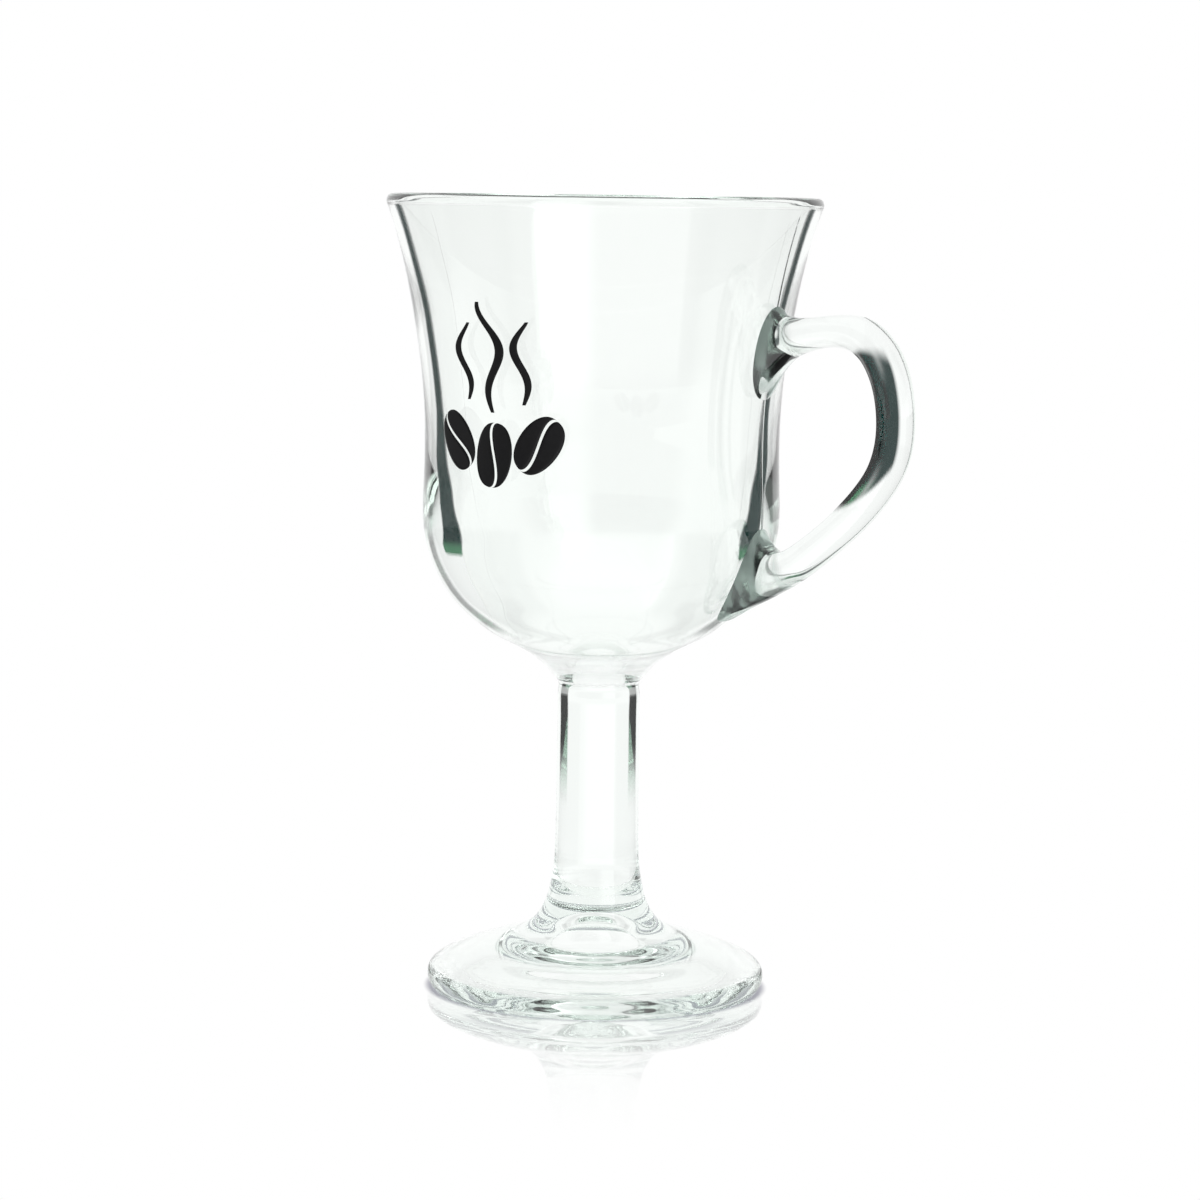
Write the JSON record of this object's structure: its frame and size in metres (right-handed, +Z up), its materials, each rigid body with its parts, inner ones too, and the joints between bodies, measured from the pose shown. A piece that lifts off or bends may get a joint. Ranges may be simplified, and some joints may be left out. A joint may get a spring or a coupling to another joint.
{
  "type": "irish coffee glass mug",
  "caption": "Footed clear glass mug for irish coffee: bell-shaped bowl, solid stem, domed foot, one side handle and a black bean-and-steam print.",
  "frame": {"origin": "centre of the circle that the foot rests on, on the mug's own axis", "axes": "+Z up along the bowl and stem axis, +X towards the handle, the print faces -Y"},
  "size_m": [0.104, 0.0818, 0.15],
  "materials": {
    "clear_glass": "clear soda-lime glass with a faint green edge, fire polished",
    "enamel": "black ceramic enamel fired on the glass, satin"
  },
  "bodies": {
    "root": {"bowl": "clear_glass", "stem": "clear_glass", "foot": "clear_glass", "handle": "clear_glass", "print_beans": "enamel", "print_steam": "enamel"}
  },
  "joints": []
}
